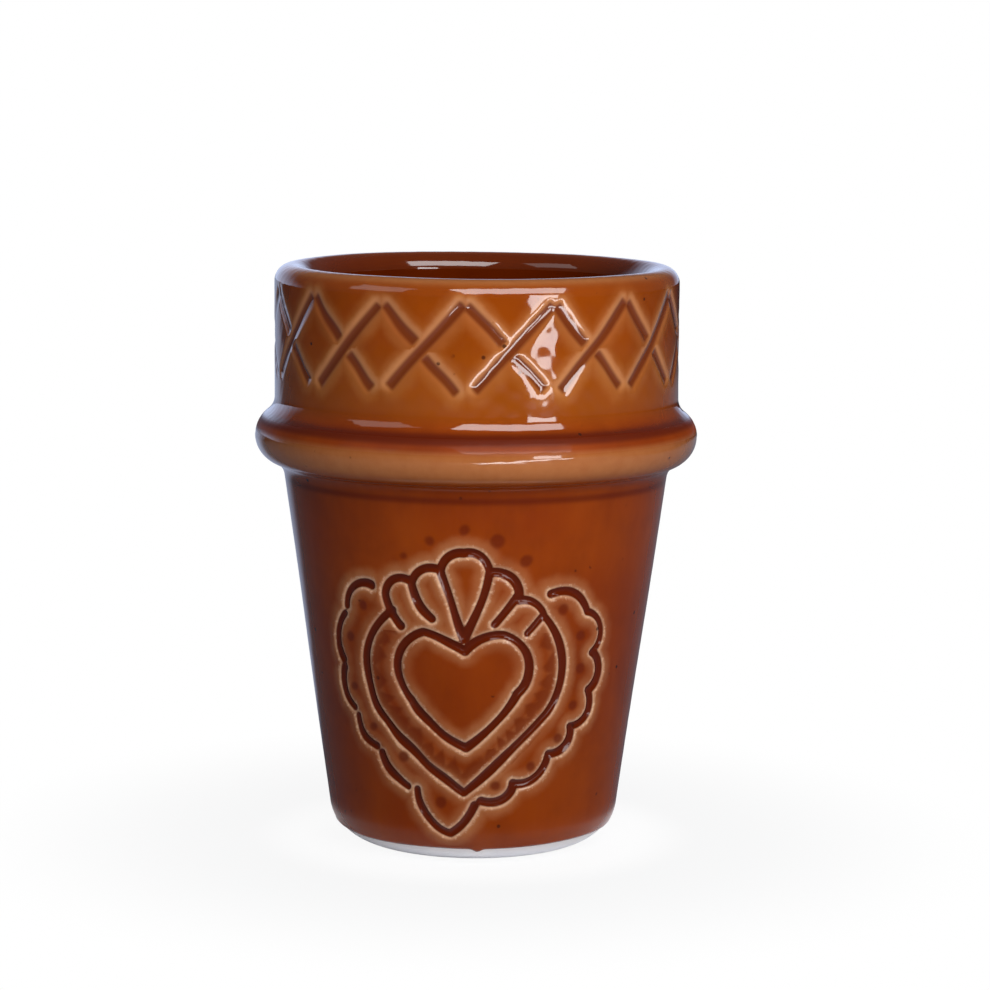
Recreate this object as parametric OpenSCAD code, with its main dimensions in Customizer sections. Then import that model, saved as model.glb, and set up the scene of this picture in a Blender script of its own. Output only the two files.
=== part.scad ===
// Clay cup without a handle: a carved heart on a tapered wall, a bulging ring, and a lattice band.
// Millimetres, +Z up. The origin is the middle of the foot, where the cup stands on the table.
// The heart faces -Y. Sizes are those of the glazed cup, and the clay lies one glaze coat inside.

/* [Cup] */
// Height from the table to the top of the glazed lip
cup_height = 105; // [100:1:112]
// Width of the upright band under the lip
band_width = 73.2; // [71:0.5:76]
// Height from the middle of the ring to the top of the lip
band_height = 30.8; // [29:0.2:33]
// How far the bulging ring stands out of the band
ring_proud = 3.5; // [2.8:0.1:4]
// Radius of the ring's round section
ring_round = 5.2; // [4.8:0.1:5.6]
// How far the line of the tapered wall lies inside the band at the ring's middle
waist_step = 0.8; // [0.5:0.1:1.4]
// Width of the tapered wall where it turns under to the foot
foot_width = 53; // [50:0.5:56]
// Radius of the rounded edge round the foot
foot_round = 8; // [6:0.5:10]

/* [Inside] */
// Thickness of the lip, which is a full round
lip_thickness = 6.2; // [5:0.2:7]
// Thickness of the tapered wall
wall_thickness = 5.6; // [4.5:0.1:6.5]
// Thickness of the floor under the drink
floor_thickness = 7; // [5:0.5:9]
// Radius where the inside wall turns into the floor
floor_round = 9; // [6:0.5:12]

/* [Creases] */
// Radius of the hollow between the band and the ring
upper_crease = 3.5; // [2.5:0.1:4.5]
// Radius of the hollow between the ring and the tapered wall
lower_crease = 3; // [2:0.1:4]

/* [Glaze] */
// Thickness of the glaze coats
glaze = 0.4; // [0.3:0.05:0.5]
// Height of the glaze's lower edge, under which the foot is bare clay
glaze_line = 3; // [2:0.1:4]

/* [Lattice] */
// Number of lozenges round the band
lozenges = 15; // [13:1:16]
// Height of the lozenges
lattice_rise = 17; // [15:0.5:18]
// Distance from the top of the lip down to the lozenges' upper points
lattice_drop = 4; // [3.5:0.1:5]
// Width of a lattice stroke at the glaze
lattice_stroke = 2.1; // [1.6:0.1:2.3]
// Depth of a lattice stroke
lattice_depth = 0.8; // [0.5:0.05:1]
// Sideways space from the lower point of a lozenge to the strokes that start there
low_gap = 1.6; // [1.5:0.1:2.2]
// Sideways space from the upper point of a lozenge to the strokes that meet there
top_gap = 0.4; // [0.2:0.1:0.6]
// Length left uncut on each side of a crossing, where the falling stroke is broken
crossing_gap = 2.4; // [2.2:0.1:3]

/* [Heart] */
// Half the width of the outer heart, measured round the wall
heart_reach = 18.4; // [17:0.2:19]
// Height of the outer heart's tip above the table
heart_tip = 13.7; // [13:0.1:15]
// Distance from the ring's middle down to the top dot of the crown
crown_drop = 12.6; // [12:0.2:14]
// Width of a carved line at the glaze
line_width = 1.7; // [1.3:0.1:2]
// Depth of a carved line and of a dot
line_depth = 0.7; // [0.5:0.05:0.9]
// Width of a pressed dot
dot_width = 2.2; // [1.8:0.1:2.6]

/* [Hidden] */
facets = 96;
$fn = facets;
// How much narrower than its line the disc is that rounds an arc's end
joint_slack = 0.02;
// How far the wedge that cuts an arc out of its ring reaches, for the arc's radius
wedge_reach = 4;

band_r = band_width / 2;
ring_level = cup_height - band_height;
ring_centre_r = band_r + ring_proud - ring_round;
lip_r = lip_thickness / 2;
lip_centre_r = band_r - lip_r;
lip_centre_z = cup_height - lip_r;
mouth_r = band_r - lip_thickness;
foot_centre_z = foot_round - glaze;
// The tapered wall leans out by this angle
lean = atan((band_r - waist_step - foot_width / 2) / (ring_level - foot_centre_z));
foot_centre_r = foot_width / 2 - foot_round / cos(lean);

// Unit directions: square to the tapered wall, and up along it
square_out = [cos(lean), -sin(lean)];
up_wall = [sin(lean), cos(lean)];

// Point that lies so far out from the foot's centre, square to the wall, and so far up along it
function by_wall(out, up) = [foot_centre_r, foot_centre_z] + out * square_out + up * up_wall;

// Centres of the circles of the two creases, which touch the ring and the band or the wall
upper_crease_centre = [
    band_r + upper_crease,
    ring_level + sqrt(pow(ring_round + upper_crease, 2) - pow(band_r + upper_crease - ring_centre_r, 2))
];
to_ring = by_wall(foot_round + lower_crease, 0) - [ring_centre_r, ring_level];
lower_crease_up = -to_ring * up_wall
    - sqrt(pow(to_ring * up_wall, 2) - to_ring * to_ring + pow(ring_round + lower_crease, 2));
lower_crease_centre = by_wall(foot_round + lower_crease, lower_crease_up);

// Lines of the heart, as shares of heart_reach sideways and of heart_height up from its tip. Each arc
// runs from one point through the next to the one after, where the next arc starts. The first list
// lies left of the middle line and the second right of it, and each holds the outer heart, the
// inner heart, and the three petals from the middle one outwards.
left_shares = [
    [[-0.73, 1], [-1.02, 0.72], [-0.81, 0.38], [-0.43, 0.175], [0, 0]],
    [
        [0, 0.79], [-0.19, 0.85], [-0.4, 0.885], [-0.645, 0.755], [-0.525, 0.516],
        [-0.295, 0.365], [0, 0.253]
    ],
    [[0, 1.325], [-0.165, 1.302], [-0.235, 1.22], [-0.13, 1.05], [0, 0.86]],
    [[-0.26, 1.236], [-0.45, 1.22], [-0.53, 1.145], [-0.44, 1.047], [-0.31, 0.96]],
    [[-0.56, 1.163], [-0.71, 1.162], [-0.8, 1.08], [-0.74, 0.99], [-0.63, 0.916]]
];
right_shares = [
    [[0.77, 0.98], [0.97, 0.7], [0.8, 0.43], [0.4, 0.208], [0, 0]],
    [[0, 0.79], [0.15, 0.853], [0.36, 0.878], [0.622, 0.74], [0.5, 0.55], [0.275, 0.382], [0, 0.253]],
    [[0, 1.325], [0.165, 1.302], [0.235, 1.225], [0.14, 1.05], [0, 0.86]],
    [[0.263, 1.227], [0.42, 1.207], [0.523, 1.099], [0.42, 1.028], [0.286, 0.935]],
    [[0.512, 1.061], [0.66, 1.053], [0.765, 0.99], [0.7, 0.95], [0.595, 0.884]]
];
// Scallops round the heart from the top down on each side
left_border_shares = [
    [-0.918, 1.111], [-1.212, 1.081], [-1.272, 0.957], [-1.418, 0.826], [-1.321, 0.66], [-1.353, 0.527],
    [-1.168, 0.403], [-1.092, 0.291], [-0.875, 0.212]
];
right_border_shares = [
    [0.837, 1.099], [1.103, 1.087], [1.261, 0.978], [1.446, 0.866], [1.337, 0.742], [1.44, 0.633],
    [1.304, 0.533], [1.299, 0.412], [1.087, 0.342], [1.043, 0.239], [0.832, 0.197]
];
// Lowest scallops of the left side and of the right, and the drop under the tip
low_border_shares = [
    [[-0.875, 0.212], [-0.745, 0.088], [-0.522, 0.015]],
    [[0.832, 0.197], [0.739, 0.097], [0.457, 0.048], [0.375, -0.03], [0.158, -0.048]],
    [[-0.467, 0.015], [-0.397, -0.115], [-0.141, -0.233], [0.022, -0.151], [0.103, -0.07]]
];
// Dots of the crown over the petals, with the top one last
left_crown_shares = [[-0.6, 1.292], [-0.345, 1.387]];
right_crown_shares = [[0.59, 1.281], [0.311, 1.387], [0, 1.453]];

// The heart's height leaves the top dot its distance from the ring
heart_height = (ring_level - crown_drop - heart_tip) / right_crown_shares[2][1];

// Radius of the tapered wall's glaze at the given height
function wall_r(z) = foot_centre_r + (foot_round + (z - foot_centre_z) * sin(lean)) / cos(lean);

// Point of the tapered wall's glaze that lies so far round from the front, at the given height
function on_wall(round, z) = let (turn = round / wall_r(z) * 180 / PI)
    [wall_r(z) * sin(turn), -wall_r(z) * cos(turn), z];

// Half of the cup's outline, filled to the axis and lying the given distance inside the glaze
module outline(inset) {
    difference() {
        union() {
            translate([foot_centre_r, foot_centre_z]) circle(foot_round - inset);
            polygon([
                [0, inset - glaze],
                [foot_centre_r, inset - glaze],
                by_wall(foot_round - inset, 0),
                by_wall(foot_round - inset, lower_crease_up),
                lower_crease_centre,
                [ring_centre_r, ring_level],
                upper_crease_centre,
                [band_r - inset, upper_crease_centre[1]],
                [band_r - inset, lip_centre_z],
                [0, lip_centre_z]
            ]);
            translate([ring_centre_r, ring_level]) circle(ring_round - inset);
        }
        translate(upper_crease_centre) circle(upper_crease + inset);
        translate(lower_crease_centre) circle(lower_crease + inset);
    }
    intersection() {
        translate([lip_centre_r, lip_centre_z]) circle(lip_r - inset);
        translate([0, lip_centre_z]) square([band_r, lip_r]);
    }
}

// Half of the hollow for the drink, filled to the axis and grown by the given distance
module hollow(grow) {
    inner = foot_round - wall_thickness;
    corner_z = floor_thickness + floor_round;
    corner_up = (corner_z - foot_centre_z + (inner - floor_round) * sin(lean)) / cos(lean);
    corner = by_wall(inner - floor_round, corner_up);
    bend_up = (mouth_r + grow - foot_centre_r - (inner + grow) * cos(lean)) / sin(lean);
    translate(corner) circle(floor_round + grow);
    polygon([
        [0, floor_thickness - grow],
        [corner[0], floor_thickness - grow],
        corner,
        by_wall(inner + grow, corner_up),
        by_wall(inner + grow, bend_up),
        [mouth_r + grow, lip_centre_z],
        [0, lip_centre_z]
    ]);
}

// Flat drawing cut in from outside, square to a wall of the given tilt, at the given turn round the cup
module cut_in(turn, tilt)
    rotate([90 + tilt, 0, turn]) translate([0, 0, band_r / 2]) linear_extrude(band_r) children();

// The strokes of the lattice, grown by the given distance. The rising strokes are whole, and the
// falling ones are broken where they cross them.
module lattice(grow) {
    pitch = 2 * PI * band_r / lozenges;
    low_share = low_gap / pitch;
    top_share = 1 - top_gap / pitch;
    gap_share = crossing_gap / norm([pitch, lattice_rise]);
    // Stroke between two shares of its way up, on the side of a lozenge that rises or that falls
    module stroke(k, from, to, rises) {
        middle = (from + to) / 2;
        length = (to - from) * norm([pitch, lattice_rise]);
        cut_in((k + (rises ? middle : 1 - middle)) * 360 / lozenges, 0)
        translate([0, cup_height - lattice_drop - (1 - middle) * lattice_rise])
        rotate(rises ? atan2(lattice_rise, pitch) : -atan2(lattice_rise, pitch))
        square([length + 2 * grow, lattice_stroke + 2 * grow], center = true);
    }
    difference() {
        for (k = [0 : lozenges - 1]) {
            stroke(k, low_share, top_share, true);
            stroke(k, low_share, 0.5 - gap_share, false);
            stroke(k, 0.5 + gap_share, top_share, false);
        }
        cylinder(h = cup_height, r = band_r - lattice_depth - grow);
    }
}

// Line of the given width along the arc through three points of a flat drawing, with round ends
module arc_line(points, width) {
    a = points[1] - points[0];
    b = points[2] - points[0];
    centre = points[0] + (a * a * [b[1], -b[0]] - b * b * [a[1], -a[0]]) / (2 * cross(a, b));
    reach = norm(points[0] - centre);
    // A flatter arc has more facets, so that they stay as short as those of the others
    finer = facets * ceil(reach / heart_reach);
    intersection() {
        difference() {
            circle_at(centre, reach + width / 2, finer);
            circle_at(centre, reach - width / 2, finer);
        }
        polygon([centre, for (point = points) centre + wedge_reach * (point - centre)]);
    }
    for (end = [points[0], points[2]]) circle_at(end, width / 2 - joint_slack);
}

module circle_at(centre, radius, finer = facets) translate(centre) circle(radius, $fn = finer);

// The carved heart, grown by the given distance: a heart in a heart under a crown of petals and
// dots, with a scalloped border and a drop under the tip. Its lines are cut as five flat drawings,
// each square to the wall where it lies, and a cone inside the wall gives them their depth.
module heart(grow) {
    function place(share) = on_wall(share[0] * heart_reach, heart_tip + share[1] * heart_height);

    // Turn round the cup at which a place lies
    function turn_of(share) = let (point = place(share)) atan2(point[0], -point[1]);

    // Where a place falls in the drawing that lies square to the wall at the given turn
    function drawn(share, turn) = let (point = place(share)) [
        point * [cos(turn), sin(turn), 0],
        point * [sin(lean) * sin(turn), -sin(lean) * cos(turn), cos(lean)]
    ];

    module drawing(lines, dots) {
        turn = (min([for (line = lines, share = line) turn_of(share)])
            + max([for (line = lines, share = line) turn_of(share)])) / 2;
        cut_in(turn, lean) {
            for (line = lines, k = [0 : 2 : len(line) - 3])
                arc_line([for (j = [0 : 2]) drawn(line[k + j], turn)], line_width + 2 * grow);
            for (share = dots) circle_at(drawn(share, turn), dot_width / 2 + grow);
        }
    }

    difference() {
        union() {
            drawing(left_shares, left_crown_shares);
            drawing(right_shares, right_crown_shares);
            drawing([left_border_shares], []);
            drawing([right_border_shares], []);
            drawing(low_border_shares, []);
        }
        inside = foot_round - line_depth - grow;
        low = by_wall(inside, -foot_round);
        high = by_wall(inside, lower_crease_up);
        rotate_extrude() polygon([[0, low[1]], low, high, [0, high[1]]]);
    }
}

module clay_body() {
    color("linen")
    difference() {
        rotate_extrude() difference() {
            outline(glaze);
            hollow(glaze);
        }
        lattice(glaze);
        heart(glaze);
    }
}

module outer_glaze() {
    color("sienna")
    difference() {
        rotate_extrude() intersection() {
            outline(0);
            translate([0, glaze_line]) square([band_width, cup_height]);
        }
        lattice(0);
        heart(0);
        difference() {
            rotate_extrude() outline(glaze);
            lattice(glaze);
            heart(glaze);
        }
    }
}

module inner_glaze() {
    color("saddlebrown")
    rotate_extrude() difference() {
        hollow(glaze);
        hollow(0);
    }
}

clay_body();
outer_glaze();
inner_glaze();
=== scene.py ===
import math

import bpy
import numpy as np
from mathutils import Matrix, Vector


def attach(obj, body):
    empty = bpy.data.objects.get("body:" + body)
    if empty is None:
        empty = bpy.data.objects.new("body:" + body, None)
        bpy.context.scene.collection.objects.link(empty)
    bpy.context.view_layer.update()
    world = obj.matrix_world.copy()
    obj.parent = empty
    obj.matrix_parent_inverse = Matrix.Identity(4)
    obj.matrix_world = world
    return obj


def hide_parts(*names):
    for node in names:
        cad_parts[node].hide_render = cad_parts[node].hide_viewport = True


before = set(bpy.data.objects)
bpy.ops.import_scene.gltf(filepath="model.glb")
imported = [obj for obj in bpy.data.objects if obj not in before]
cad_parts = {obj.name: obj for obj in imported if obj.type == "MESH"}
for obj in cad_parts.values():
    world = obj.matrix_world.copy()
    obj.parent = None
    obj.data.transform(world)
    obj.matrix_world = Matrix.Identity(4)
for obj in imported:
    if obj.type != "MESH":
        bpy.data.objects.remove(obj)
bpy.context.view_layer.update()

# Camera. It stands in front of the cup, a little to the right of the heart, and looks slightly
# down into the mouth. It is turned so that the cup stands just left of the picture's middle.
CAMERA_ROUND = math.radians(3)
CAMERA_AWAY = 0.6209
CAMERA_HEIGHT = 0.15046
LOOK_DOWN = 0.14
LOOK_LEFT = -0.0057
TILT = 0.0095
camera_data = bpy.data.cameras.new("camera")
camera_data.sensor_width = 36
camera_data.lens = 125.27
camera_data.clip_start = 0.01
camera = bpy.data.objects.new("camera", camera_data)
bpy.context.scene.collection.objects.link(camera)
bpy.context.scene.camera = camera
camera.matrix_world = (
    Matrix.Rotation(CAMERA_ROUND, 4, "Z")
    @ Matrix.Translation((0, -CAMERA_AWAY, CAMERA_HEIGHT))
    @ Matrix.Rotation(LOOK_LEFT, 4, "Z")
    @ Matrix.Rotation(math.pi / 2 - LOOK_DOWN, 4, "X")
    @ Matrix.Rotation(TILT, 4, "Z")
)
bpy.context.scene.view_settings.view_transform = "Standard"

# Clay body. The fired cup itself, of pale clay. Only the foot shows, under the glaze line: it is
# bare, and was wiped with a sponge before the firing, which left fine rings round it.
# Sizes are in millimetres, and those of the outline lie on the glaze.
BAND_R = 36.6
RING_LEVEL = 74.2
RING_CENTRE_R = 34.9
RING_ROUND = 5.2
LIP_R = 3.1
LIP_CENTRE_R = 33.5
LIP_CENTRE_Z = 101.9
MOUTH_R = BAND_R - 2 * LIP_R
WAIST_STEP = 0.8
FOOT_R = 26.5
FOOT_ROUND = 8.0
FOOT_CENTRE_Z = 7.6
LEAN = math.atan((BAND_R - WAIST_STEP - FOOT_R) / (RING_LEVEL - FOOT_CENTRE_Z))
FOOT_CENTRE_R = FOOT_R - FOOT_ROUND / math.cos(LEAN)
UPPER_CREASE = 3.5
LOWER_CREASE = 3.0
# How far the inside wall lies out from the foot's round edge, square to the wall
INNER = 2.4
FLOOR_ROUND = 9.0
FLOOR = 7.0
GLAZE = 0.4
# Where a coat hides the clay, the clay lies this far under the glaze's surface
HIDDEN_OUTSIDE = 1.9
HIDDEN_INSIDE = 1
# A mesh ends this close to the cup's axis
AXIS_R = 0.02


def by_wall(out, up):
    """Point so far out from the foot's round edge, square to the wall, and so far up along the wall."""
    return (
        FOOT_CENTRE_R + out * math.cos(LEAN) + up * math.sin(LEAN),
        FOOT_CENTRE_Z - out * math.sin(LEAN) + up * math.cos(LEAN),
    )


def heading(start, end):
    return math.atan2(end[1] - start[1], end[0] - start[0])


def arc(centre, radius, start, end, step):
    angles = np.linspace(start, end, max(3, math.ceil(abs(end - start) * radius / step)) + 1)
    return [(centre[0] + radius * math.cos(a), centre[1] + radius * math.sin(a)) for a in angles]


def line(start, end, step):
    parts = max(1, math.ceil(math.dist(start, end) / step))
    return [tuple(p) for p in np.linspace(start, end, parts + 1)]


ring_centre = (RING_CENTRE_R, RING_LEVEL)
upper_crease = (
    BAND_R + UPPER_CREASE,
    RING_LEVEL + math.sqrt((RING_ROUND + UPPER_CREASE) ** 2 - (BAND_R + UPPER_CREASE - RING_CENTRE_R) ** 2),
)
from_ring = np.subtract(by_wall(FOOT_ROUND + LOWER_CREASE, 0), ring_centre)
along = -from_ring @ np.array([math.sin(LEAN), math.cos(LEAN)])
crease_up = along - math.sqrt(along**2 - from_ring @ from_ring + (RING_ROUND + LOWER_CREASE) ** 2)
lower_crease = by_wall(FOOT_ROUND + LOWER_CREASE, crease_up)
to_lower = heading(ring_centre, lower_crease)
to_upper = heading(ring_centre, upper_crease)


def joined(*runs):
    points = [p for run in runs for p in run]
    return [p for k, p in enumerate(points) if k == 0 or math.dist(p, points[k - 1]) > 1e-4]


def wall_profile(inset, step):
    """From the top of the foot's round edge up to the ring's crest, so far inside the glaze."""
    return joined(
        line(by_wall(FOOT_ROUND - inset, 0), by_wall(FOOT_ROUND - inset, crease_up), step),
        arc(lower_crease, LOWER_CREASE + inset, math.pi - LEAN, to_lower + math.pi, 0.4),
        arc(ring_centre, RING_ROUND - inset, to_lower, 0, 0.4),
    )


def band_profile(inset, step):
    """From the ring's crest up over the lip to its inner side."""
    return joined(
        arc(ring_centre, RING_ROUND - inset, 0, to_upper, 0.4),
        arc(upper_crease, UPPER_CREASE + inset, to_upper + math.pi, math.pi, 0.4),
        line((BAND_R - inset, upper_crease[1]), (BAND_R - inset, LIP_CENTRE_Z), step),
        arc((LIP_CENTRE_R, LIP_CENTRE_Z), LIP_R - inset, 0, math.pi, 0.35),
    )


def hollow_profile(inset, step):
    """From the lip's inner side down to the middle of the floor."""
    inner = INNER - inset
    corner_up = (FLOOR + FLOOR_ROUND - FOOT_CENTRE_Z + (INNER - FLOOR_ROUND) * math.sin(LEAN)) / math.cos(LEAN)
    bend_up = (MOUTH_R - inset - FOOT_CENTRE_R - inner * math.cos(LEAN)) / math.sin(LEAN)
    corner = by_wall(INNER - FLOOR_ROUND, corner_up)
    return joined(
        line((MOUTH_R - inset, LIP_CENTRE_Z), by_wall(inner, bend_up), step),
        line(by_wall(inner, bend_up), by_wall(inner, corner_up), step),
        arc(corner, FLOOR_ROUND - inset, -LEAN, -math.pi / 2, 0.8),
        line((corner[0], FLOOR + inset), (AXIS_R, FLOOR + inset), 2),
    )


def turned(name, rings, node, shares=None):
    """Mesh of rings, each given as angles round the cup from its front, radii and heights.

    Two rings with unlike angles are joined by triangles.
    """
    verts, faces, start = [], [], []
    for turns, radii, heights in rings:
        start.append(len(verts))
        radii = np.broadcast_to(radii, turns.shape)
        heights = np.broadcast_to(heights, turns.shape)
        verts += np.stack([radii * np.sin(turns), -radii * np.cos(turns), heights], 1).tolist()
    for k in range(len(rings) - 1):
        low, high = len(rings[k][0]), len(rings[k + 1][0])
        a, b = start[k], start[k + 1]
        if low == high:
            faces += [(a + j, a + (j + 1) % low, b + (j + 1) % low, b + j) for j in range(low)]
            continue
        below, above = rings[k][0], rings[k + 1][0]
        i = j = 0
        while i < low or j < high:
            next_below = below[i + 1] if i + 1 < low else below[0] + 2 * math.pi
            next_above = above[j + 1] if j + 1 < high else above[0] + 2 * math.pi
            if j == high or (i < low and next_below <= next_above):
                faces.append((a + i, a + (i + 1) % low, b + j % high))
                i += 1
            else:
                faces.append((a + i % low, b + (j + 1) % high, b + j))
                j += 1
    mesh = bpy.data.meshes.new(name)
    mesh.from_pydata((np.array(verts) * 0.001).tolist(), [], faces)
    mesh.polygons.foreach_set("use_smooth", [True] * len(mesh.polygons))
    for key, share in (shares or {}).items():
        mesh.attributes.new(key, "FLOAT", "POINT").data.foreach_set("value", np.concatenate(share))
    piece = bpy.data.objects.new(name, mesh)
    bpy.context.scene.collection.objects.link(piece)
    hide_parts(node)
    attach(piece, "root")
    return piece


clay_turns = np.arange(256) / 256 * 2 * math.pi
clay_profile = joined(
    line((AXIS_R, 0), (FOOT_CENTRE_R, 0), 2),
    arc((FOOT_CENTRE_R, FOOT_CENTRE_Z), FOOT_ROUND - GLAZE, -math.pi / 2, math.radians(-22), 0.4),
    wall_profile(HIDDEN_OUTSIDE, 3),
    band_profile(HIDDEN_OUTSIDE, 3),
    hollow_profile(-HIDDEN_INSIDE, 3),
)
clay = turned("clay_cup", [(clay_turns, r, z) for r, z in clay_profile], "clay_body")


class Value:
    """What a shader node gives out. It adds and multiplies as a number does."""

    def __init__(self, finish, socket):
        self.finish = finish
        self.socket = socket

    def __add__(self, other):
        return self.finish.maths("ADD", self, other)

    def __radd__(self, other):
        return self.finish.maths("ADD", other, self)

    def __sub__(self, other):
        return self.finish.maths("SUBTRACT", self, other)

    def __rsub__(self, other):
        return self.finish.maths("SUBTRACT", other, self)

    def __mul__(self, other):
        return self.finish.maths("MULTIPLY", self, other)

    def __rmul__(self, other):
        return self.finish.maths("MULTIPLY", other, self)

    def step(self, low, high):
        """Smooth step from 0 at low to 1 at high, which may lie under low."""
        if low > high:
            return 1 - self.step(high, low)
        settings = {"interpolation_type": "SMOOTHSTEP"}
        return self.finish.add("MapRange", settings, {"Value": self, "From Min": low, "From Max": high})


class Finish:
    """The nodes of one material, or of the room."""

    def __init__(self, owner):
        owner.use_nodes = True
        self.owner = owner
        self.tree = owner.node_tree

    def add(self, kind, settings=None, values=None, output=0):
        node = self.tree.nodes.new("ShaderNode" + kind)
        for key, setting in (settings or {}).items():
            setattr(node, key, setting)
        for key, value in (values or {}).items():
            self.put(value, node.inputs[key])
        return Value(self, node.outputs[output])

    def put(self, value, socket):
        if isinstance(value, Value):
            self.tree.links.new(value.socket, socket)
        else:
            socket.default_value = value

    def maths(self, operation, *values):
        return self.add("Math", {"operation": operation}, dict(enumerate(values)))

    def attribute(self, name):
        return self.add("Attribute", {"attribute_name": name}, output="Fac")

    def place(self, stretch=(1, 1, 1)):
        """Place on the object, in metres, stretched along its axes."""
        coords = self.add("TexCoord", output="Object")
        return self.add("VectorMath", {"operation": "MULTIPLY"}, {0: coords, 1: stretch})

    def height(self, where):
        return self.add("SeparateXYZ", None, {"Vector": where}, output="Z")

    def noise(self, where, scale, detail=3.0, roughness=0.5):
        values = {"Vector": where, "Scale": scale, "Detail": detail, "Roughness": roughness}
        return self.add("TexNoise", None, values)

    def specks(self, where, outside, inside):
        """A few small round specks, which fade out between the two distances from their middles."""
        cells = self.add("TexVoronoi", {"feature": "F1"}, {"Vector": where, "Scale": 330, "Randomness": 1})
        return cells.step(outside, inside) * self.noise(where, 210, 1).step(0.6, 0.66)

    def blend(self, share, under, over):
        values = {0: share, 6: under, 7: over}
        return self.add("Mix", {"data_type": "RGBA"}, values, output=2)

    def bump(self, height, distance, strength):
        return self.add("Bump", None, {"Height": height, "Distance": distance, "Strength": strength})

    def set(self, **values):
        for key, value in values.items():
            self.put(value, self.tree.nodes["Principled BSDF"].inputs[key.replace("_", " ")])


def paint(red, green, blue):
    """Shader colour for a colour as a screen shows it, from 0 to 255."""
    shades = [c / 255 for c in (red, green, blue)]
    return [c / 12.92 if c < 0.04045 else ((c + 0.055) / 1.055) ** 2.4 for c in shades] + [1]


bisque = Finish(bpy.data.materials.new("bare_clay"))
where = bisque.place()
grit = bisque.noise(where, 2600, 4, 0.6)
wiped = bisque.noise(bisque.place((1, 1, 12)), 420)
body_colour = bisque.blend(bisque.noise(where, 160, 4), paint(232, 234, 240), paint(246, 246, 246))
body_colour = bisque.blend(grit.step(0.66, 0.74) * 0.5, body_colour, paint(188, 178, 168))
up_to_glaze = bisque.height(where).step(0.0012, 0.0034)
body_colour = bisque.blend(up_to_glaze * 0.35, body_colour, paint(205, 190, 176))
bisque.set(
    Base_Color=body_colour,
    Roughness=0.78 + grit * 0.12,
    Normal=bisque.bump(grit * 0.5 + wiped, 0.00012, 0.6),
    IOR=1.4,
)
clay.data.materials.append(bisque.owner)

# Outer glaze. One amber coat over the outside and the lip. It runs off the raised edges, where the
# clay shows through pale, and pools dark in the creases, the lattice and the lines of the heart. The
# creases round the ring, the ring's top and the lip's inner side are darkened further with painted shade.
# The lines run through points given as shares of HEART_REACH round the wall and of HEART_HEIGHT up
# from the heart's tip. Each arc takes three points, and the next starts at its last one.
LEFT_OUTER = [(-0.73, 1), (-1.02, 0.72), (-0.81, 0.38), (-0.43, 0.175), (0, 0)]
RIGHT_OUTER = [(0.77, 0.98), (0.97, 0.7), (0.8, 0.43), (0.4, 0.208), (0, 0)]
LEFT_INNER = [(0, 0.79), (-0.19, 0.85), (-0.4, 0.885), (-0.645, 0.755), (-0.525, 0.516), (-0.295, 0.365), (0, 0.253)]
RIGHT_INNER = [(0, 0.79), (0.15, 0.853), (0.36, 0.878), (0.622, 0.74), (0.5, 0.55), (0.275, 0.382), (0, 0.253)]
PETALS = [
    [(0, 1.325), (-0.165, 1.302), (-0.235, 1.22), (-0.13, 1.05), (0, 0.86)],
    [(-0.26, 1.236), (-0.45, 1.22), (-0.53, 1.145), (-0.44, 1.047), (-0.31, 0.96)],
    [(-0.56, 1.163), (-0.71, 1.162), (-0.8, 1.08), (-0.74, 0.99), (-0.63, 0.916)],
    [(0, 1.325), (0.165, 1.302), (0.235, 1.225), (0.14, 1.05), (0, 0.86)],
    [(0.263, 1.227), (0.42, 1.207), (0.523, 1.099), (0.42, 1.028), (0.286, 0.935)],
    [(0.512, 1.061), (0.66, 1.053), (0.765, 0.99), (0.7, 0.95), (0.595, 0.884)],
]
LEFT_LACE = [
    (-0.918, 1.111), (-1.212, 1.081), (-1.272, 0.957), (-1.418, 0.826), (-1.321, 0.66), (-1.353, 0.527),
    (-1.168, 0.403), (-1.092, 0.291), (-0.875, 0.212), (-0.745, 0.088), (-0.522, 0.015),
]
RIGHT_LACE = [
    (0.837, 1.099), (1.103, 1.087), (1.261, 0.978), (1.446, 0.866), (1.337, 0.742), (1.44, 0.633),
    (1.304, 0.533), (1.299, 0.412), (1.087, 0.342), (1.043, 0.239), (0.832, 0.197), (0.739, 0.097),
    (0.457, 0.048), (0.375, -0.03), (0.158, -0.048),
]
DROP = [(-0.467, 0.015), (-0.397, -0.115), (-0.141, -0.233), (0.022, -0.151), (0.103, -0.07)]
TOP_DOT = 1.453
HEART_REACH = 18.4
HEART_TIP = 13.7
CROWN_DROP = 12.6
HEART_HEIGHT = (RING_LEVEL - CROWN_DROP - HEART_TIP) / TOP_DOT
LINE_WIDTH = 1.7
# The scallops on the left are strokes of their own, each left so much short of its neighbours
STROKE_SHORT = 0.9
# Dots of the crown and of the lace, each with its place round the wall, its height and its radius
DOTS = [
    (-11.0, 56.4, 0.7), (-6.3, 59.5, 0.95), (0, 61.7, 1.0), (5.7, 59.5, 1.3), (10.9, 56.0, 1.2),
    (-19.8, 46.8, 1.0), (-22.7, 40.7, 1.0), (-22.1, 31.3, 0.9), (-17.5, 24.6, 0.9), (-11.2, 19.5, 1.05),
    (-4.2, 11.9, 1.15), (18.0, 47.0, 1.1), (21.7, 41.7, 1.05), (21.9, 35.5, 1.15), (20.4, 29.0, 1.0),
    (17.3, 22.8, 1.0), (11.9, 18.4, 0.95), (5.2, 14.9, 0.95),
]
# What the coat's mesh tells its material stays between these distances from a mark's edge
WITHIN, BEYOND = -2, 5


def on_drawing(share):
    return np.array([share[0] * HEART_REACH, HEART_TIP + share[1] * HEART_HEIGHT])


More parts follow.
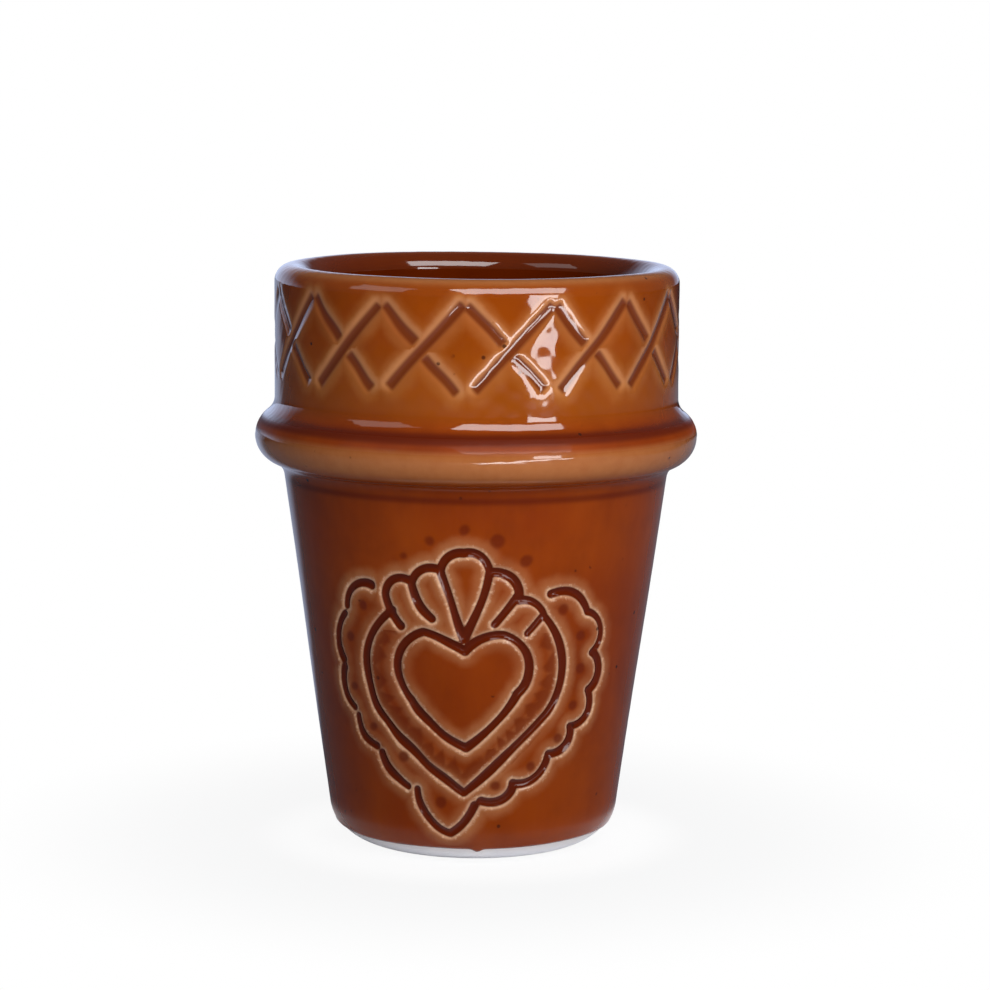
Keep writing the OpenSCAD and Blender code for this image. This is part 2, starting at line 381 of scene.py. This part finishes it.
def to_arc(places, a, b, c, short):
    """How far each place lies from the arc from a through b to c, left short at both ends."""
    p, q = b - a, c - a
    twice = 2 * (p[0] * q[1] - p[1] * q[0])
    centre = a + (p @ p * np.array([q[1], -q[0]]) - q @ q * np.array([p[1], -p[0]])) / twice
    radius = np.hypot(*(a - centre))
    start = math.atan2(*(a - centre)[::-1])
    turn = 2 * math.pi * np.sign(twice)
    left_out = np.sign(twice) * short / radius
    sweep = (math.atan2(*(c - centre)[::-1]) - start) % turn - 2 * left_out
    start += left_out
    off = places - centre
    ahead = (np.arctan2(off[..., 1], off[..., 0]) - start) % turn
    beside = np.abs(ahead) <= abs(sweep)
    tips = [radius * np.array([math.cos(a), math.sin(a)]) for a in (start, start + sweep)]
    to_tips = np.min([np.hypot(off[..., 0] - tip[0], off[..., 1] - tip[1]) for tip in tips], 0)
    return np.where(beside, np.abs(np.hypot(off[..., 0], off[..., 1]) - radius), to_tips)


def to_lines(places, lines, short=0):
    nearest = np.full(places.shape[:-1], 99.0)
    for shares_along in lines:
        points = [on_drawing(share) for share in shares_along]
        for k in range(0, len(points) - 2, 2):
            nearest = np.minimum(nearest, to_arc(places, *points[k : k + 3], short))
    return nearest


def smooth(values, low, high):
    share = np.clip((values - low) / (high - low), 0, 1)
    return share * share * (3 - 2 * share)


def hump(values, middle, reach, power=2):
    """Rounded hump of height 1 round the middle."""
    return np.exp(-(((values - middle) / reach) ** power))


def waver(turns, radii, heights, size, length, phase):
    """Slow unevenness round and along the wall, as a hand leaves it."""
    total = 0
    for k, (x, y, z) in enumerate(((0.5, 0.3, 0.8), (-0.7, 0.6, 0.4), (0.2, -0.8, 0.6), (0.6, 0.7, -0.5))):
        way = radii * (x * np.sin(turns) + y * np.cos(turns)) + z * heights
        total = total + np.sin(way / length * (1 + 0.37 * k) + phase * (k + 1))
    return total * size / 4


def square_to(profile):
    """Directions that point out of the profile, and the length of the way to each of its points."""
    ways = np.gradient(profile, axis=0)
    ways /= np.hypot(ways[:, 0], ways[:, 1])[:, None]
    lengths = np.concatenate([[0], np.cumsum(np.hypot(*np.diff(profile, axis=0).T))])
    return ways[:, 1], -ways[:, 0], lengths


# The wall's columns are close together over the heart and further apart round the back.
OVER_HEART = 58
front = np.radians(np.arange(-OVER_HEART, OVER_HEART + 0.01, 0.62))
back = np.radians(np.linspace(OVER_HEART, 360 - OVER_HEART, 124)[1:-1])
wall_turns = np.concatenate([front, back])
band_turns = np.arange(640) / 640 * 2 * math.pi + front[0]
rings = []
edges = ("line_edge", "dot_edge", "tooth_edge", "stroke_edge")
shares = {key: [] for key in (*edges, "stroke_side", "pool", "dull")}


def add_ring(turns, radii, heights, **found):
    rings.append((turns, radii, heights))
    for key in shares:
        share = found.get(key, float(BEYOND) if key in edges else 0.0)
        shares[key].append(np.broadcast_to(share, turns.shape).astype(np.float32))


# The glaze ends over the foot in a round edge that wavers and hangs in one short drip.
EDGE_Z = 3.1
EDGE_RISE = 0.3
edge_heights = EDGE_Z + waver(wall_turns, 25, 0, 0.5, 9, 1.1)
drip = 0.6 * hump(wall_turns * 24, 2.1, 0.8)
for inset, rise in ((0.75, -0.3), (0.42, -0.26), (0.2, -0.16), (0.06, 0.02), (0, EDGE_RISE)):
    heights = edge_heights + rise - drip
    radii = FOOT_CENTRE_R + np.sqrt((FOOT_ROUND - inset) ** 2 - (heights - FOOT_CENTRE_Z) ** 2)
    add_ring(wall_turns, radii, heights, pool=0.15)

# From there the coat goes round the foot's edge and up the wall to the ring's crest.
profile = np.array(wall_profile(0, 0.36))
profile_out_r, profile_out_z, wall_length = square_to(profile)
edge_angles = np.arcsin((edge_heights + EDGE_RISE - drip - FOOT_CENTRE_Z) / FOOT_ROUND)
foot_rows = [edge_angles + (-LEAN - edge_angles) * k / 10 for k in range(1, 10)]


def over_foot(round_foot, up_wall):
    """Rows of one value per column: those round the foot's edge, and then those up the wall."""
    return np.array(round_foot + [np.full(wall_turns.shape, value) for value in up_wall])


out_r = over_foot([np.cos(a) for a in foot_rows], profile_out_r)
out_z = over_foot([np.sin(a) for a in foot_rows], profile_out_z)
radii = over_foot([FOOT_CENTRE_R + FOOT_ROUND * np.cos(a) for a in foot_rows], profile[:, 0])
heights = over_foot([FOOT_CENTRE_Z + FOOT_ROUND * np.sin(a) for a in foot_rows], profile[:, 1])
turns = np.where(wall_turns > math.pi, wall_turns - 2 * math.pi, wall_turns)
drawn = np.stack([radii * turns, heights], -1)
drawn = drawn + np.stack([waver(turns, radii, heights, 0.32, 2.2, phase) for phase in (0.4, 2.2)], -1)
round_wall, up_wall = drawn[..., 0], drawn[..., 1]
half_width = LINE_WIDTH / 2 + waver(turns, radii, heights, 0.2, 2.7, 5.0)
to_outer = to_lines(drawn, [LEFT_OUTER, RIGHT_OUTER])
to_inner = to_lines(drawn, [LEFT_INNER, RIGHT_INNER])
to_others = to_lines(drawn, PETALS + [RIGHT_LACE, DROP])
to_left_lace = to_lines(drawn, [LEFT_LACE], STROKE_SHORT)
line_edge = np.min([to_outer, to_inner, to_others, to_left_lace], 0) - half_width
dot_edge = np.min([np.hypot(round_wall - s, up_wall - z) - r for s, z, r in DOTS], 0)

# Between the two hearts runs a row of small cut notches, pressed only lightly and none like the next.
NOTCHES = 30
HEART_MIDDLE = 34
PETALS_END = 43
round_heart = np.arctan2(round_wall, up_wall - HEART_MIDDLE)
notch = round_heart * NOTCHES / (2 * math.pi) + 0.2 * np.sin(7 * round_heart + 1)
ripple = np.abs(notch % 1 - 0.5) * 2 * (0.75 + 0.25 * np.sin(5.3 * np.floor(notch)))
across = to_inner / (to_inner + to_outer)
between = (np.abs(round_wall) < 18.5) & (to_outer + to_inner < 9.5) & (up_wall < PETALS_END)
outside_inner = (to_outer < 7.5) & ((up_wall < 22) | (np.abs(round_wall) > 5))
teeth = np.maximum((0.36 + 0.34 * ripple - across) * 5, (across - 0.8) * 5)
tooth_edge = np.clip(np.where(between & outside_inner, teeth, BEYOND), -3, BEYOND)
from_crest = wall_length - wall_length[-1]
# Pale thin glaze over the ring's crest; pooled glaze in the crease under the ring, made darker with painted shade.
pool_wall = 0.6 * hump(from_crest, -9.9, 0.8) - 0.9 * hump(from_crest, -1.6, 3.4)
pool_rows = np.concatenate([np.full(len(foot_rows), 0.1), pool_wall])
pressed = (
    0.5 * (1 - smooth(line_edge, -0.85, 0.3))
    + 0.1 * (1 - smooth(dot_edge, -1, 0.6))
    - 0.05 * smooth(line_edge, 0.1, 0.6) * (1 - smooth(line_edge, 0.7, 1.8))
    + 0.04 * (1 - smooth(tooth_edge, -0.9, 0.4))
    + 0.08
    + waver(turns, radii, heights, 0.07, 7.5, 3.3)
    + waver(turns, radii, heights, 0.012, 0.6, 4.1)
)
for k in range(len(radii)):
    add_ring(
        wall_turns,
        radii[k] - pressed[k] * out_r[k],
        heights[k] - pressed[k] * out_z[k],
        pool=pool_rows[k],
        line_edge=np.clip(line_edge[k], WITHIN, BEYOND),
        dot_edge=np.clip(dot_edge[k], WITHIN, BEYOND),
        tooth_edge=tooth_edge[k],
    )

# The lattice was pressed stroke by stroke, freely. The falling strokes came first, and each rising
# stroke closed them up where it crossed.
LOZENGES = 15
LATTICE_LOW = 84
LATTICE_RISE = 17
# Each stroke's two ends, as shares of the rise, and whether it rises to the right
STROKES = ((0.1, 0.985, True), (0.09, 0.455, False), (0.575, 0.985, False))
STROKE_ROUND = 0.5
ALL_ROUND = 2 * math.pi * BAND_R
profile = np.array(band_profile(0, 0.36))[1:]
profile_out_r, profile_out_z, band_length = square_to(profile)
turns, heights = np.meshgrid(band_turns, profile[:, 1])
radii = np.broadcast_to(profile[:, 0][:, None], heights.shape)
pitch = 2 * math.pi * BAND_R / LOZENGES
hand_s = BAND_R * turns + waver(turns, radii, heights, 0.3, 2.4, 0.9)
hand_z = heights + waver(turns, radii, heights, 0.3, 2.6, 1.9)
half_width = 0.98 + waver(turns, radii, heights, 0.2, 4.0, 2.7)
stroke_edge = np.full(heights.shape, float(BEYOND))
# Which side of its nearest stroke each place lies on, used only to paint light on one side of the stroke's rim.
stroke_side = np.zeros(heights.shape)
rng = np.random.default_rng(7)
for k in range(LOZENGES):
    for low, high, rises in STROKES:
        ends = []
        for share in (low, high):
            off = rng.uniform(-0.3, 0.3, 2)
            along = (k + (share if rises else 1 - share)) * pitch
            ends.append((along + off[0], LATTICE_LOW + LATTICE_RISE * share + off[1]))
        length = math.dist(*ends)
        way = np.subtract(ends[1], ends[0]) / length
        off_s = (hand_s - (ends[0][0] + ends[1][0]) / 2 + BAND_R * math.pi) % ALL_ROUND - BAND_R * math.pi
        off_z = hand_z - (ends[0][1] + ends[1][1]) / 2
        aside = (off_z * way[0] - off_s * way[1]) * (1 if rises else -1)
        past_end = np.abs(off_s * way[0] + off_z * way[1]) - length / 2 + STROKE_ROUND
        past_side = np.abs(aside) - half_width + STROKE_ROUND
        rounded = np.hypot(np.maximum(past_end, 0), np.maximum(past_side, 0))
        edge = rounded + np.minimum(np.maximum(past_end, past_side), 0) - STROKE_ROUND
        stroke_side = np.where(edge < stroke_edge, np.clip(aside, -1, 1), stroke_side)
        stroke_edge = np.minimum(edge, stroke_edge)
inside_lip = (profile[:, 0] < LIP_CENTRE_R) & (profile[:, 1] > LATTICE_LOW)
stroke_edge[inside_lip] = BEYOND
pressed = (
    0.3 * (1 - smooth(stroke_edge, -1, 0.8))
    + 0.08
    + waver(turns, radii, heights, 0.07, 8, 2.2)
    + waver(turns, radii, heights, 0.016, 0.62, 1.3)
)
pressed *= np.clip((band_length[-1] - band_length) / 2, 0, 1)[:, None]
lip_top = band_length[-1] - math.pi * LIP_R / 2
# Pale thin glaze over the ring's crest and on the lip; pooled glaze on the ring's top and in the crease over it,
# partly painted shade; painted shade past the lip's top, on its inner side.
pool_band = (
    -0.9 * hump(band_length, -1.6, 3.4)
    + hump(band_length, 3.4, 1.7)
    - 0.8 * hump(band_length, lip_top - 1.2, 1.5)
    + 0.6 * smooth(band_length, lip_top + 0.2, lip_top + 1.6)
)
dull_band = hump(band_length, 2.2, 1.5, 4)
for k in range(len(profile)):
    add_ring(
        band_turns,
        profile[k, 0] - pressed[k] * profile_out_r[k],
        profile[k, 1] - pressed[k] * profile_out_z[k],
        pool=pool_band[k],
        dull=dull_band[k],
        stroke_edge=np.clip(stroke_edge[k], WITHIN, BEYOND),
        stroke_side=stroke_side[k],
    )
coat = turned("amber_coat", rings, "outer_glaze", shares)

# The coat's colour, from its thickness: thin and pale on edges, thick and dark where it pools. Round
# the ring's creases and top, and past the lip's top, the dark is partly painted shade.
DARK_SPECK = paint(52, 20, 6)
amber = Finish(bpy.data.materials.new("amber_glaze"))
where = amber.place()
mottle = amber.noise(where, 520, 4, 0.6)
ragged = mottle - 0.5
uneven = 0.55 + 0.45 * amber.noise(where, 110, 2).step(0.35, 0.65)
pool = amber.attribute("pool")
dull = amber.attribute("dull")
line_edge = amber.attribute("line_edge")
dot_edge = amber.attribute("dot_edge")
tooth_edge = amber.attribute("tooth_edge")
stroke_edge = amber.attribute("stroke_edge")
stroke_side = amber.attribute("stroke_side")
height = amber.height(where)
colour = amber.blend(amber.noise(where, 38).step(0.3, 0.7), paint(124, 44, 0), paint(136, 54, 0))
colour = amber.blend(amber.noise(where, 120).step(0.42, 0.68) * 0.4, colour, paint(112, 40, 0))
streaks = amber.noise(amber.place((1, 1, 0.25)), 150, 4, 0.6)
colour = amber.blend(streaks.step(0.35, 0.8) * 0.3, colour, paint(150, 66, 6))
golden = height.step(0.078, 0.083) * (0.5 - 0.25 * height.step(0.086, 0.096))
colour = amber.blend(golden, colour, paint(150, 80, 16))
colour = amber.blend(pool.step(0, -0.9) * (0.5 + 0.4 * mottle), colour, paint(176, 112, 62))
# Dark where the glaze pools, with painted shade in the creases round the ring and on the lip's inner side.
colour = amber.blend(pool.step(0.05, 0.8) * 0.85, colour, paint(84, 20, 0))
round_line = (line_edge + ragged).step(2.8, 0.1)
colour = amber.blend(round_line * uneven * 0.42, colour, paint(196, 138, 92))
notches = (tooth_edge + ragged * 1.4).step(0.5, -0.6)
colour = amber.blend(notches * 0.75, colour, paint(108, 36, 0))
rim = (line_edge + ragged * 0.6).step(0.9, 0.05)
colour = amber.blend(rim * rim * uneven * 0.75, colour, paint(216, 172, 138))
flecks = amber.noise(where, 1500, 2).step(0.54, 0.66)
colour = amber.blend(rim * flecks * 0.45, colour, paint(236, 200, 164))
round_stroke = (stroke_edge + ragged).step(3, 0.2)
colour = amber.blend(round_stroke * uneven * 0.3, colour, paint(190, 130, 76))
# Pale rim along each stroke where the glaze runs thin, lighter on one side of the stroke as painted light.
stroke_rim_and_painted_light = (stroke_edge + ragged * 0.6).step(1.6, 0.1) * (0.4 + 0.4 * stroke_side)
colour = amber.blend(stroke_rim_and_painted_light * 0.65, colour, paint(196, 134, 84))
colour = amber.blend(line_edge.step(0.1, -0.2), colour, paint(88, 25, 1))
dots = (dot_edge + ragged * 0.4).step(0.3, -0.5)
colour = amber.blend(dots * 0.75, colour, paint(96, 28, 2))
colour = amber.blend(stroke_edge.step(0.3, -0.55) * 0.85, colour, paint(94, 29, 0))
colour = amber.blend(amber.specks(where, 0.16, 0.08) * 0.8, colour, DARK_SPECK)
amber.set(
    Base_Color=colour,
    Roughness=0.07 + 0.05 * mottle + 0.55 * dull,
    Normal=amber.bump(mottle * 0.25 + streaks, 0.00006, 0.5),
    Coat_Weight=(1 - 0.95 * dull) * (1 - 0.78 * height.step(0.0735, 0.0695)),
    Coat_Roughness=0.04,
    Coat_IOR=1.6,
    IOR=1.25,
)
coat.data.materials.append(amber.owner)

# Inner glaze. The same glaze lines the inside from under the lip to the floor. Its colour is a
# darker copy of the outer amber, darker again further down, as painted shade.
liner_turns = np.arange(320) / 320 * 2 * math.pi - math.pi
liner_rings = [(liner_turns, r, z) for r, z in hollow_profile(0, 1.2)]
liner = turned("inner_coat", liner_rings, "inner_glaze")
lining = Finish(bpy.data.materials.new("inside_glaze"))
where = lining.place()
cloud = lining.noise(where, 45)
mottle = lining.noise(where, 520, 4, 0.6)
# Painted shade: a darker copy of the amber, and darker below the lip.
inside_colour_with_painted_shade = lining.blend(cloud.step(0.3, 0.7), paint(88, 26, 0), paint(98, 31, 0))
inside_colour_with_painted_shade = lining.blend(lining.height(where).step(0.102, 0.085) * 0.75, inside_colour_with_painted_shade, paint(70, 18, 0))
inside_colour_with_painted_shade = lining.blend(lining.specks(where, 0.2, 0.1) * 0.8, inside_colour_with_painted_shade, DARK_SPECK)
lining.set(
    Base_Color=inside_colour_with_painted_shade,
    Roughness=0.07 + 0.05 * mottle,
    Normal=lining.bump(mottle * 0.25 + cloud, 0.00008, 0.5),
    IOR=1.47,
)
liner.data.materials.append(lining.owner)

# Floor. A plain pale table top that runs out of the picture on every side. The camera sees it white,
# and the glaze sees it white only far behind the cup. The light it throws on the cup is its own grey.
FLOOR_REACH = 3
BEHIND = (-0.35, 0.937, 0)
MIRRORED_WHITE = (0.62, 0.72, 1, 1)
WHITE = (1, 1, 1, 1)
corners = [(x * FLOOR_REACH, y * FLOOR_REACH, 0) for x, y in ((-1, -1), (1, -1), (1, 1), (-1, 1))]
floor_mesh = bpy.data.meshes.new("floor")
floor_mesh.from_pydata(corners, [], [(0, 1, 2, 3)])
floor = bpy.data.objects.new("floor", floor_mesh)
bpy.context.scene.collection.objects.link(floor)
table = Finish(bpy.data.materials.new("table"))
from_cup = table.place()
away = table.add("VectorMath", {"operation": "LENGTH"}, {0: from_cup}, output="Value")
top_colour = table.blend(away.step(0.03, 0.042), paint(238, 238, 242), paint(116, 118, 128))
table.set(Base_Color=top_colour, Roughness=0.9, Specular_IOR_Level=0)
lit = Value(table, table.tree.nodes["Principled BSDF"].outputs[0])
seen = table.add("LightPath", output="Is Camera Ray")
way = table.add("VectorMath", {"operation": "NORMALIZE"}, {0: from_cup})
behind = table.add("VectorMath", {"operation": "DOT_PRODUCT"}, {0: way, 1: BEHIND}, output="Value")
mirrored = table.add("LightPath", output="Is Glossy Ray") * behind.step(0.92, 0.99) * away.step(0.05, 0.16) * 0.5
tint = table.blend(seen, MIRRORED_WHITE, WHITE)
white = table.add("Emission", None, {"Color": tint, "Strength": 1})
share_white = seen * (0.92 + 0.08 * away.step(0.04, 0.1)) + mirrored
top = table.add("MixShader", None, {0: share_white, 1: lit, 2: white})
table.put(top, table.tree.nodes["Material Output"].inputs["Surface"])
floor_mesh.materials.append(table.owner)

# Light. A wide soft panel stands at the front and right with a low window further round, and a weak
# panel at the left. A sheet on the table, a bounce card and a panel behind fill in. Each has its turn
# round the cup and its rise in degrees, and its distance, width, height and power.
LAMPS_LEVEL = 0.075
for name, turn, rise, away, width, height, power in (
    ("soft_panel", 22, 40, 0.7, 0.7, 0.42, 4.6),
    ("window", 36, 4, 0.7, 0.18, 0.2, 0.8),
    ("side_panel", -60, 34, 0.8, 0.46, 0.36, 0.5),
    ("sheet", 24, -11.3, 0.367, 0.3, 0.12, 0.8),
    ("bounce", 10, -13, 0.32, 0.3, 0.2, 1.3),
    ("back_panel", 165, 30, 0.8, 0.5, 0.5, 3.4),
):
    lamp = bpy.data.lights.new(name, "AREA")
    lamp.shape = "RECTANGLE"
    lamp.size = width
    lamp.size_y = height
    lamp.energy = power
    stand = bpy.data.objects.new(name, lamp)
    bpy.context.scene.collection.objects.link(stand)
    stand.visible_camera = False
    stand.visible_glossy = name not in ("bounce", "back_panel")
    turn, rise = math.radians(turn) + CAMERA_ROUND, math.radians(rise)
    spot = Vector((math.sin(turn) * math.cos(rise), -math.cos(turn) * math.cos(rise), math.sin(rise))) * away
    stand.location = spot + Vector((0, 0, LAMPS_LEVEL))
    facing = Vector((spot.x * 0.2, spot.y * 0.2, -1)) if rise < 0 else spot
    stand.rotation_euler = facing.to_track_quat("Z", "Y").to_euler()

# Room. Behind the cup it is bright, as the glaze's sides mirror it, and dim elsewhere. The camera
# sees plain white.
world = bpy.data.worlds.new("room")
bpy.context.scene.world = world
room = Finish(world)
direction = room.add("TexCoord", output="Generated")
behind_and_low = {0: direction, 1: (*BEHIND[:2], -0.5)}
towards = room.add("VectorMath", {"operation": "DOT_PRODUCT"}, behind_and_low, output="Value")
dim = room.add("Background", None, {"Color": (0.75, 0.78, 0.9, 1), "Strength": 0.07})
bright = room.add("Background", None, {"Color": MIRRORED_WHITE, "Strength": 1})
backdrop = room.add("Background", None, {"Color": WHITE, "Strength": 1})
around = room.add("MixShader", None, {0: towards.step(0.6, 0.95), 1: dim, 2: bright})
shown = room.add("MixShader", None, {0: room.add("LightPath", output="Is Camera Ray"), 1: around, 2: backdrop})
room.put(shown, room.tree.nodes["World Output"].inputs["Surface"])
